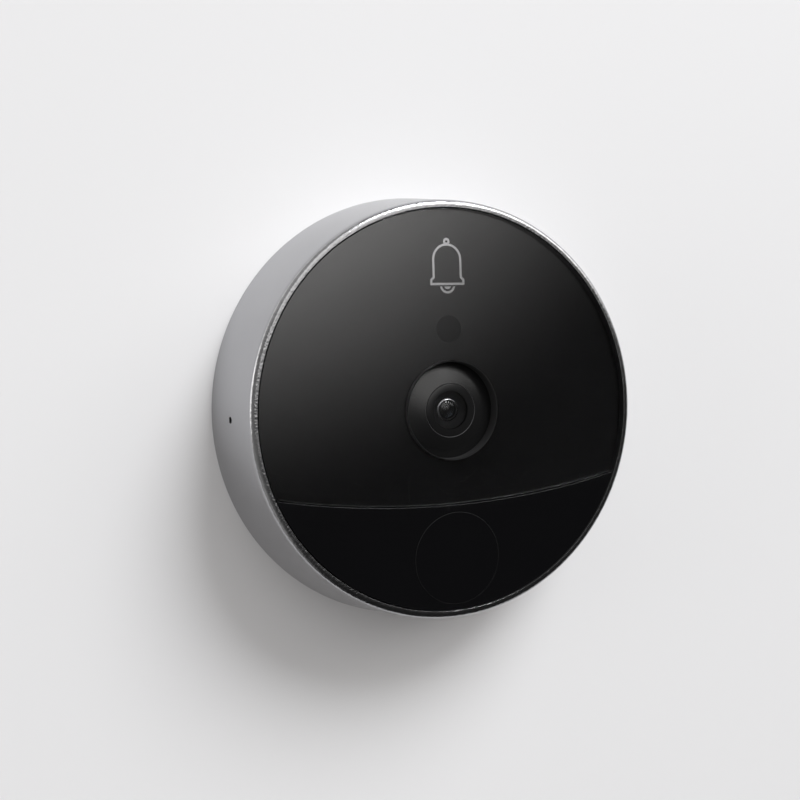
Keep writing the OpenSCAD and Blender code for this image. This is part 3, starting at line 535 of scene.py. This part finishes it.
def turnOnLathe(name, profile, sides=256):
    bpy.ops.object.select_all(action="DESELECT")
    bpy.ops.mesh.primitive_plane_add(size=mm, location=(0, 0, 0))
    piece = bpy.context.object
    piece.name = piece.data.name = name
    bpy.ops.object.mode_set(mode="EDIT")
    bpy.ops.mesh.select_all(action="SELECT")
    bpy.ops.mesh.merge(type="CENTER")
    radius, height = profile[0]
    bpy.ops.transform.translate(value=(radius * mm, 0, height * mm))
    for nextRadius, nextHeight in profile[1:]:
        step = ((nextRadius - radius) * mm, 0, (nextHeight - height) * mm)
        bpy.ops.mesh.extrude_vertices_move(TRANSFORM_OT_translate={"value": step})
        radius, height = nextRadius, nextHeight
    bpy.ops.mesh.select_all(action="SELECT")
    bpy.ops.mesh.spin(steps=sides, angle=2 * math.pi, center=(0, 0, 0), axis=(0, 0, 1))
    bpy.ops.mesh.select_all(action="SELECT")
    bpy.ops.mesh.remove_doubles(threshold=weld)
    bpy.ops.mesh.normals_make_consistent(inside=False)
    bpy.ops.object.mode_set(mode="OBJECT")
    return piece


def applyModifiers(piece):
    pickOnly(piece)
    for modifier in list(piece.modifiers):
        bpy.ops.object.modifier_apply(modifier=modifier.name)


def shapeWith(piece, tool, operation="DIFFERENCE"):
    cut = piece.modifiers.new("cut", "BOOLEAN")
    cut.operation = operation
    cut.solver = "EXACT"
    cut.object = tool
    applyModifiers(piece)
    bpy.data.objects.remove(tool)


def moveTo(piece, x=0, y=0, z=0, turn=(0, 0, 0)):
    pickOnly(piece)
    piece.location = (x * mm, y * mm, z * mm)
    piece.rotation_euler = [math.radians(a) for a in turn]
    bpy.ops.object.transform_apply()
    return piece


def mergeFlats(piece):
    pickOnly(piece)
    bpy.ops.object.mode_set(mode="EDIT")
    bpy.ops.mesh.select_all(action="SELECT")
    bpy.ops.mesh.remove_doubles(threshold=weld)
    bpy.ops.mesh.dissolve_limited(angle_limit=flatAngle)
    bpy.ops.object.mode_set(mode="OBJECT")


def settle(piece, node):
    # stood up, shaded, and put in the place of its node
    moveTo(piece, turn=(90, 0, 0))
    bpy.ops.object.shade_smooth_by_angle(angle=math.radians(smoothAngle))
    flatten = piece.modifiers.new("flatten", "WEIGHTED_NORMAL")
    flatten.keep_sharp = True
    applyModifiers(piece)
    piece.data.materials.clear()
    piece.data.materials.append(finishes[slotOf[node]])
    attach(piece, bodyOf[node])
    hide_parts(node)
    print("made", piece.name, len(piece.data.polygons), "faces")


def paintBand(piece, slot, inside, outside):
    # another finish on the faces between two radii, in mm
    piece.data.materials.append(finishes[slot])
    last = len(piece.data.materials) - 1
    for face in piece.data.polygons:
        radius = math.hypot(face.center.x, face.center.z) / mm
        if inside < radius < outside:
            face.material_index = last


# housing: tapered ring with a rounded rim

backRadius, _, depth = span("housing_shell")
panelRadius, coverBack, panelFace = span("bell_cover")
_, panelBack, _ = span("pir_panel")

housing = {
    "frontRadius": 34.0,
    "fillet": 1.0,
    "rimWidth": 1.26,
    "rimChamfer": 0.01,
    "rimTilt": 0.6,  # faces turned further to the front than this belong to the rim
    "rimSlack": 0.001,
    "wallSlack": 0.02,
    "backEdge": 0.15,
    "sideRings": (1.1, 2.1, 4.1, 5.2, 6.4, 7.1, 8.5, 9.4, 11, 12.8),  # heights
    "ledge": (10.6, 8.8, 31.04),  # top, back, radius
    "cavity": (33.443, 2.0),  # radius, back
    "rearSeat": 34.5,
    "micHole": (1.1, 7.8),  # width, height above the door
    "speakerHole": (1.2, 3.1),
    "speakerPitch": 1.9,
    "speakerCount": 5,
    "holeFlare": 0.03,
    "drillStart": 1,  # inside the wall
}


def makeDrill(width, wall):
    r = width / 2
    flare = housing["holeFlare"]
    end = wall + 2 * flare
    return turnOnLathe(
        "drill", [(0, 0), (r, 0), (r, wall - flare), (r + 3 * flare, end), (0, end)], sides=48
    )


def makeHousing():
    h = housing
    fillet = h["fillet"]
    taper = (backRadius - h["frontRadius"]) / (depth - fillet)
    lean = math.atan(taper)
    rimHeight = depth - fillet
    rimRadius = backRadius - (rimHeight + fillet * math.sin(lean)) * taper - fillet * math.cos(lean)
    opening = h["frontRadius"] - h["rimWidth"]
    edge = h["backEdge"]
    ledgeTop, ledgeBack, ledgeRadius = h["ledge"]
    cavityRadius, cavityBack = h["cavity"]
    side = [(backRadius - z * taper, z) for z in h["sideRings"]]
    profile = [(h["rearSeat"], 0), (backRadius - edge, 0), (backRadius - edge * taper, edge)]
    profile += side
    profile += arc((rimRadius, rimHeight), fillet, math.degrees(lean), 90, 12)
    profile += [
        (opening + h["rimChamfer"], depth),
        (opening, depth - h["rimChamfer"]),
        (opening, ledgeTop),
        (ledgeRadius, ledgeTop),
        (ledgeRadius, ledgeBack),
        (cavityRadius, ledgeBack),
        (cavityRadius, cavityBack),
        (h["rearSeat"], cavityBack),
        (h["rearSeat"], 0),
    ]
    ring = turnOnLathe("housingRing", profile, sides=320)
    start = h["drillStart"]
    width, height = h["micHole"]
    wall = (backRadius - height * taper) - cavityRadius + start
    drill = makeDrill(width, wall)
    moveTo(drill, x=start - cavityRadius, z=height, turn=(0, -90, 0))
    shapeWith(ring, drill)
    width, height = h["speakerHole"]
    wall = (backRadius - height * taper) - cavityRadius + start
    stepTurn = math.degrees(h["speakerPitch"] / cavityRadius)
    for i in range(h["speakerCount"]):
        turn = -90 + (i - (h["speakerCount"] - 1) / 2) * stepTurn
        a = math.radians(turn)
        drill = makeDrill(width, wall)
        moveTo(drill, turn=(0, 90, 0))
        moveTo(drill, turn=(0, 0, turn), x=(cavityRadius - start) * math.cos(a),
               y=(cavityRadius - start) * math.sin(a), z=height)
        shapeWith(ring, drill)
    settle(ring, "housing_shell")
    # the rim is blasted coarser than the side, and the wall inside it is black
    slack = h["wallSlack"]
    ring.data.materials.append(finishes["blasted_rim"])
    ring.data.materials.append(finishes["black_rubber"])
    for face in ring.data.polygons:
        out = math.hypot(face.center.x, face.center.z) / mm
        height = -face.center.y / mm
        onRim = out > opening + h["rimSlack"] and height > rimHeight
        if onRim and face.normal.y < -h["rimTilt"]:
            face.material_index = 1
        elif abs(out - opening) < slack and ledgeTop < height < depth - slack:
            face.material_index = 2


makeHousing()


# front: bell skin, motion panel and motion lens, all level

frontLook = {
    "edge": 0.05,
    "edgeSteps": 3,
    "grow": 0.1,  # the faces fill the rim a little closer
    "seamEdge": 0.02,
    "seamRadius": 147.6,
    "seamGap": 0.25,
    "collarRadius": 8.0,
    "collarGap": 0.08,
    "holeSlack": 0.1,
    "edgeTilt": 0.9,  # faces turned less to the front than this are edges
    "skinLift": 0.02,  # a hair of air between the skin and the tray behind it
    "cutReach": 1,  # cutters start this far behind a face or end this far in front
    "lensGap": 0.06,
    "lensRadius": 7.53,
    "lensWall": 0.7,
    "lensEdge": 0.05,
    "lensEdgeTilt": (0.1, 0.97),
    "lensEdgeSlack": 0.01,
    "lip": 1.2,
    "seatFlare": 0.012,
    "flangeRoom": 0.6,
    "rippleCount": 12,
    "rippleHeight": 0.12,
    "rippleShare": 0.9,
}


def roundBlank(name, radius, back, front, edge, sides):
    profile = [(0, back), (radius, back)]
    profile += arc((radius - edge, front - edge), edge, 0, 90, frontLook["edgeSteps"])
    profile += [(0, front)]
    return turnOnLathe(name, profile, sides)


def seamCentre():
    low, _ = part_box("bell_cover")
    return low.z / mm + frontLook["seamRadius"] - frontLook["seamGap"]


def makeBellSkin():
    f = frontLook
    back = coverBack + f["skinLift"]
    low, high = back - f["cutReach"], panelFace + f["cutReach"]
    skin = roundBlank("bellSkin", panelRadius + f["grow"], back, panelFace, f["edge"], sides=320)
    seamRadius = f["seamRadius"] - f["seamGap"]
    seam = roundBlank("seam", seamRadius, low, panelFace, f["seamEdge"], sides=720)
    moveTo(seam, y=seamCentre())
    shapeWith(skin, seam, "INTERSECT")
    hole = f["collarRadius"] + f["collarGap"]
    drill = turnOnLathe("drill", [(0, low), (hole, low), (hole, high), (0, high)], sides=192)
    shapeWith(skin, drill)
    mergeFlats(skin)
    settle(skin, "bell_cover")
    # its edges and the hole are painted black
    skin.data.materials.append(finishes["print_and_edge_highlight"])
    skin.data.materials.append(finishes["soft_black"])
    for face in skin.data.polygons:
        if abs(face.normal.y) < f["edgeTilt"]:
            out = math.hypot(face.center.x, face.center.z) / mm
            face.material_index = 2 if out < hole + f["holeSlack"] else 1


def makeMotionPanel():
    f = frontLook
    radius = panelRadius + f["grow"]
    panel = roundBlank("motionPanel", radius, panelBack, panelFace, f["edge"], sides=320)
    e = f["seamEdge"]
    r = f["seamRadius"]
    low, high = panelBack - f["cutReach"], panelFace + f["cutReach"]
    cutter = [(0, low), (r, low)]
    cutter += arc((r + e, panelFace - e), e, 180, 90, f["edgeSteps"])
    cutter += [(r + e, high), (0, high)]
    seam = turnOnLathe("seam", cutter, sides=720)
    moveTo(seam, y=seamCentre())
    shapeWith(panel, seam)
    r = f["lensRadius"] + f["lensGap"]
    e = f["seatFlare"]
    room = r + f["flangeRoom"]
    step = panelFace - f["lip"]
    profile = [(0, low), (room, low), (room, step), (r, step)]
    profile += [(r, panelFace - e), (r + 3 * e, panelFace + 2 * e), (0, panelFace + 2 * e)]
    seat = turnOnLathe("seat", profile, sides=192)
    moveTo(seat, y=motionY)
    shapeWith(panel, seat)
    mergeFlats(panel)
    settle(panel, "pir_panel")
    panel.data.materials[0] = finishes["panel_black"]


def makeMotionLens():
    f = frontLook
    flangeRadius, flangeBack, top = span("pir_lens")
    r = f["lensRadius"]
    inner = r - f["lensWall"]
    under = top - f["lensWall"]
    e = f["lensEdge"]
    # ripples on the back gather the heat, as in any motion lens
    profile = []
    steps = f["rippleCount"]
    for i in range(steps):
        crest = inner * (i + f["rippleShare"]) / steps
        profile += [(inner * i / steps, under), (crest, under + f["rippleHeight"])]
    profile += [(inner, under), (inner, flangeBack), (flangeRadius, flangeBack)]
    profile += [(flangeRadius, top - f["lip"]), (r, top - f["lip"])]
    profile += arc((r - e, top - e), e, 0, 90, f["edgeSteps"]) + [(0, top)]
    lens = turnOnLathe("motionLens", profile, sides=192)
    moveTo(lens, y=motionY)
    settle(lens, "pir_lens")
    lens.data.materials[0] = finishes["panel_black"]
    # its rounded edge is painted a lighter dull grey, a painted highlight in place of the edge
    # catching light
    lens.data.materials.append(finishes["print_and_edge_highlight"])
    least, most = f["lensEdgeTilt"]
    edgeBack = top - e - f["lensEdgeSlack"]
    for face in lens.data.polygons:
        if -most < face.normal.y < -least and -face.center.y / mm > edgeBack:
            face.material_index = 1


motionLow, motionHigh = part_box("pir_lens")
motionY = (motionLow.z + motionHigh.z) / 2 / mm
makeBellSkin()
makeMotionPanel()
makeMotionLens()


# camera recess, window and lens

recessLook = {
    "collarWall": 0.08,
    "collarEdge": 0.02,
    "collarSlack": 0.03,
    "flange": 0.8,
    "domeRadius": 24.5,
    "domeStart": 0.05,  # inside the collar's wall
    "domeSteps": 14,
    "windowChamfer": 0.12,
    "chamferSlack": 0.01,
    "seatFit": 0.02,
    "seatDepth": 1.0,
    "bore": 3.7,
}


def makeRecess():
    r = recessLook
    windowRadius, _, windowFace = span("lens_window")
    flangeRadius, back, top = span("lens_bezel")
    edgeRadius = windowRadius + r["windowChamfer"]
    domeCentre = windowFace - math.sqrt(r["domeRadius"] ** 2 - edgeRadius ** 2)
    collarRadius = frontLook["collarRadius"]
    inner = collarRadius - r["collarWall"]
    e = r["collarEdge"]
    seat = windowRadius + r["seatFit"]
    profile = [(r["bore"], back), (flangeRadius, back), (flangeRadius, back + r["flange"])]
    profile += [(collarRadius, back + r["flange"])]
    profile += arc((collarRadius - e, top - e), e, 0, 90, 3)
    profile += arc((inner + e, top - e), e, 90, 180, 3)
    first = inner - r["domeStart"]
    steps = r["domeSteps"]
    for i in range(steps + 1):
        x = first + (edgeRadius - first) * i / steps
        profile.append((x, domeCentre + math.sqrt(r["domeRadius"] ** 2 - x * x)))
    profile += [(seat, windowFace - r["windowChamfer"]), (seat, windowFace - r["seatDepth"])]
    profile += [(r["bore"], windowFace - r["seatDepth"]), (r["bore"], back)]
    recess = turnOnLathe("lensRecess", profile, sides=192)
    settle(recess, "lens_bezel")
    # the collar is dull, the dome inside it is textured, and the edge round the window is painted a
    # lighter grey, a painted highlight in place of the edge catching light
    slack = r["collarSlack"]
    paintBand(recess, "print_and_edge_highlight", inner - slack, collarRadius + slack)
    slack = r["chamferSlack"]
    paintBand(recess, "window_highlight_ring", seat + slack, edgeRadius - slack)


windowLook = {"edge": 0.03, "clearRadius": 3.1}


def makeWindow():
    radius, back, face = span("lens_window")
    e = windowLook["edge"]
    clear = windowLook["clearRadius"]
    profile = [(0, back), (clear, back), (radius - e, back), (radius, back + e)]
    profile += arc((radius - e, face - e), e, 0, 90, 3) + [(clear, face), (0, face)]
    window = turnOnLathe("cameraWindow", profile, sides=192)
    settle(window, "lens_window")
    # printed black round the clear middle
    paintBand(window, "window_black", clear, radius + e)


lensLook = {
    "head": (3.5, 11.2),  # radius, back
    "headEdge": 0.06,
    "dish": ((3.0, 0), (2.85, 0.08), (2.25, 0.20)),  # radius, depth
    "path": 1.2,
    "seatRadius": 1.52,
    "rearSeat": (2.52, 0.4),
    "threadPitch": 0.35,
    "threadDepth": 0.18,
    "lip": (1.66, 1.88),  # polished cone that holds the front lens
    "lipDepth": 0.22,
    "lipSlope": 28,
    "lipRound": 0.02,
    "lipSlack": 0.02,
    "frontEdge": 0.25,
    "frontChamfer": 0.05,
    "frontSteps": 12,
}


def makeLensHead():
    k = lensLook
    threadRadius, foot, top = span("lens_barrel")
    _, lensBack, _ = span("front_lens")
    headRadius, headBack = k["head"]
    rearRadius, rearDepth = k["rearSeat"]
    profile = [(k["path"], foot + rearDepth), (rearRadius, foot + rearDepth), (rearRadius, foot)]
    z = foot
    while z + k["threadPitch"] < headBack:
        profile += [(threadRadius - k["threadDepth"], z), (threadRadius, z + k["threadPitch"] / 2)]
        z += k["threadPitch"]
    profile += [(threadRadius - k["threadDepth"], headBack), (headRadius, headBack)]
    e = k["headEdge"]
    profile += arc((headRadius - e, top - e), e, 0, 90, 3)
    lipIn, lipOut = k["lip"]
    # shallow dish, then the polished lip round the lens
    lipFoot = top - k["lipDepth"]
    lipTop = lipFoot + (lipOut - lipIn) * math.tan(math.radians(k["lipSlope"]))
    profile += [(radius, top - down) for radius, down in k["dish"]]
    profile += [(lipOut, lipFoot), (lipIn, lipTop), (k["seatRadius"], lipTop - k["lipRound"])]
    profile += [(k["seatRadius"], lensBack), (k["path"], lensBack), (k["path"], foot + rearDepth)]
    head = turnOnLathe("lensHead", profile, sides=160)
    settle(head, "lens_barrel")
    paintBand(head, "polished_lip", lipIn - k["lipSlack"], lipOut + k["lipSlack"])


def makeFrontLens():
    radius, back, top = span("front_lens")
    rise = top - back - lensLook["frontEdge"]
    cap = (radius * radius + rise * rise) / (2 * rise)
    c = lensLook["frontChamfer"]
    profile = [(0, back), (radius - c, back), (radius, back + c)]
    steps = lensLook["frontSteps"]
    for i in range(steps + 1):
        x = radius * (1 - i / steps)
        profile.append((x, top - cap + math.sqrt(cap * cap - x * x)))
    lens = turnOnLathe("frontLens", profile, sides=128)
    settle(lens, "front_lens")
    lens.data.materials[0] = finishes["coated_glass"]


makeRecess()
makeWindow()
makeLensHead()
makeFrontLens()


# door side: foam pad, threaded barrel and cover screws

padLook = {"hole": 11.0, "edge": 0.18}


def makeDoorPad():
    radius, back, front = span("door_pad")
    e = padLook["edge"]
    hole = padLook["hole"]
    profile = [(hole, front), (radius, front)]
    profile += arc((radius - e, back + e), e, 0, -90, 4)
    profile += arc((hole + e, back + e), e, -90, -180, 4) + [(hole, front)]
    pad = turnOnLathe("doorPad", profile, sides=192)
    settle(pad, "door_pad")


barrelLook = {
    "radius": 7.0,
    "bore": 5.2,
    "seatRadius": 6.7,
    "rootRadius": 6.4,
    "pitch": 1.5,
    "turnSteps": 64,
    "crest": 0.3,
    "ridgeFoot": 0.86,  # share of the pitch
    "ridgeRoot": 0.08,  # how far a ridge reaches into the tube
    "endChamfer": 0.6,
    "boreChamfer": 0.3,
    "flange": (0.15, 1.0),  # back and front
    "flangeChamfer": 0.15,
    "plainLength": 3.05,
}


def makeThread(low, turns):
    b = barrelLook
    bpy.ops.object.select_all(action="DESELECT")
    bpy.ops.mesh.primitive_plane_add(size=mm, location=(0, 0, 0), rotation=(math.pi / 2, 0, 0))
    thread = bpy.context.object
    bpy.ops.object.transform_apply()
    height = b["radius"] - b["rootRadius"] + b["ridgeRoot"]
    foot = b["pitch"] * b["ridgeFoot"]
    bpy.ops.object.mode_set(mode="EDIT")
    bpy.ops.mesh.select_all(action="SELECT")
    bpy.ops.transform.resize(value=(height, 1, foot), center_override=(0, 0, 0))
    bpy.ops.transform.translate(value=((b["radius"] - height / 2) * mm, 0, low * mm))
    bpy.ops.mesh.delete(type="ONLY_FACE")
    bpy.ops.object.mode_set(mode="OBJECT")
    for vertex in thread.data.vertices:
        vertex.select = vertex.co.x > (b["radius"] - height / 2) * mm
    for edge in thread.data.edges:
        edge.select = all(thread.data.vertices[v].select for v in edge.vertices)
    bpy.ops.object.mode_set(mode="EDIT")
    bpy.ops.transform.resize(value=(1, 1, b["crest"] / foot), center_override=(0, 0, low * mm))
    bpy.ops.object.mode_set(mode="OBJECT")
    wind = thread.modifiers.new("wind", "SCREW")
    wind.axis = "Z"
    wind.screw_offset = b["pitch"] * mm
    wind.iterations = turns
    wind.steps = wind.render_steps = b["turnSteps"]
    wind.use_merge_vertices = False
    applyModifiers(thread)
    bpy.ops.object.mode_set(mode="EDIT")
    bpy.ops.mesh.select_all(action="SELECT")
    bpy.ops.mesh.remove_doubles(threshold=weld)
    bpy.ops.mesh.fill_holes(sides=4)
    bpy.ops.mesh.select_all(action="SELECT")
    bpy.ops.mesh.normals_make_consistent(inside=False)
    bpy.ops.object.mode_set(mode="OBJECT")
    return thread


def makeDoorBarrel():
    b = barrelLook
    flangeRadius, tip, top = span("door_barrel")
    flangeBack, flangeFront = b["flange"]
    root = b["rootRadius"]
    neck = flangeBack - b["plainLength"]
    c = b["endChamfer"]
    inC = b["boreChamfer"]
    outC = b["flangeChamfer"]
    profile = [(b["bore"] + inC, tip), (root - c, tip), (root, tip + c), (root, neck)]
    profile += [(b["radius"], neck + inC), (b["radius"], flangeBack)]
    profile += [(flangeRadius - outC, flangeBack), (flangeRadius, flangeBack + outC)]
    profile += [(flangeRadius, flangeFront), (b["seatRadius"], flangeFront)]
    profile += [(b["seatRadius"], top), (b["bore"], top)]
    profile += [(b["bore"], tip + inC), (b["bore"] + inC, tip)]
    barrel = turnOnLathe("doorBarrel", profile, sides=128)
    turns = int((neck - tip - c - b["pitch"]) / b["pitch"])
    shapeWith(barrel, makeThread(tip + c + b["pitch"] / 2, turns), "UNION")
    settle(barrel, "door_barrel")


screwLook = {
    "radius": 1.9,
    "headHeight": 1.3,
    "headEdge": 0.25,
    "shank": 0.95,
    "threadPitch": 0.4,
    "threadDepth": 0.16,
    "tipShare": 0.6,
    "socket": 1.9,
    "socketDepth": 0.65,
    "place": 19.403,
}


def makeCoverScrews():
    s = screwLook
    _, back, top = span("cover_screws")
    neck = back + s["headHeight"]
    e = s["headEdge"]
    pitch = s["threadPitch"]
    profile = [(0, back), (s["radius"] - e, back)]
    profile += arc((s["radius"] - e, back + e), e, -90, 0, 4)
    profile += [(s["radius"], neck), (s["shank"], neck)]
    z = neck + pitch / 2
    while z + pitch < top:
        profile += [(s["shank"], z), (s["shank"] - s["threadDepth"], z + pitch / 2)]
        z += pitch
    profile += [(s["shank"] * s["tipShare"], top), (0, top)]
    screw = turnOnLathe("coverScrews", profile, sides=48)
    bpy.ops.object.select_all(action="DESELECT")
    bpy.ops.mesh.primitive_cylinder_add(
        vertices=6,
        radius=s["socket"] / 2 * mm,
        depth=2 * s["socketDepth"] * mm,
        location=(0, 0, back * mm),
    )
    shapeWith(screw, bpy.context.object)
    copies = []
    for x, y in ((1, 1), (1, -1), (-1, 1), (-1, -1)):
        copy = screw.copy()
        copy.data = screw.data.copy()
        bpy.context.scene.collection.objects.link(copy)
        copies.append(moveTo(copy, x=x * s["place"], y=y * s["place"]))
    bpy.data.objects.remove(screw)
    bpy.ops.object.select_all(action="DESELECT")
    for copy in copies:
        copy.select_set(True)
    bpy.context.view_layer.objects.active = copies[0]
    bpy.ops.object.join()
    screws = bpy.context.object
    screws.name = screws.data.name = "coverScrews"
    settle(screws, "cover_screws")


makeDoorPad()
makeDoorBarrel()
makeCoverScrews()
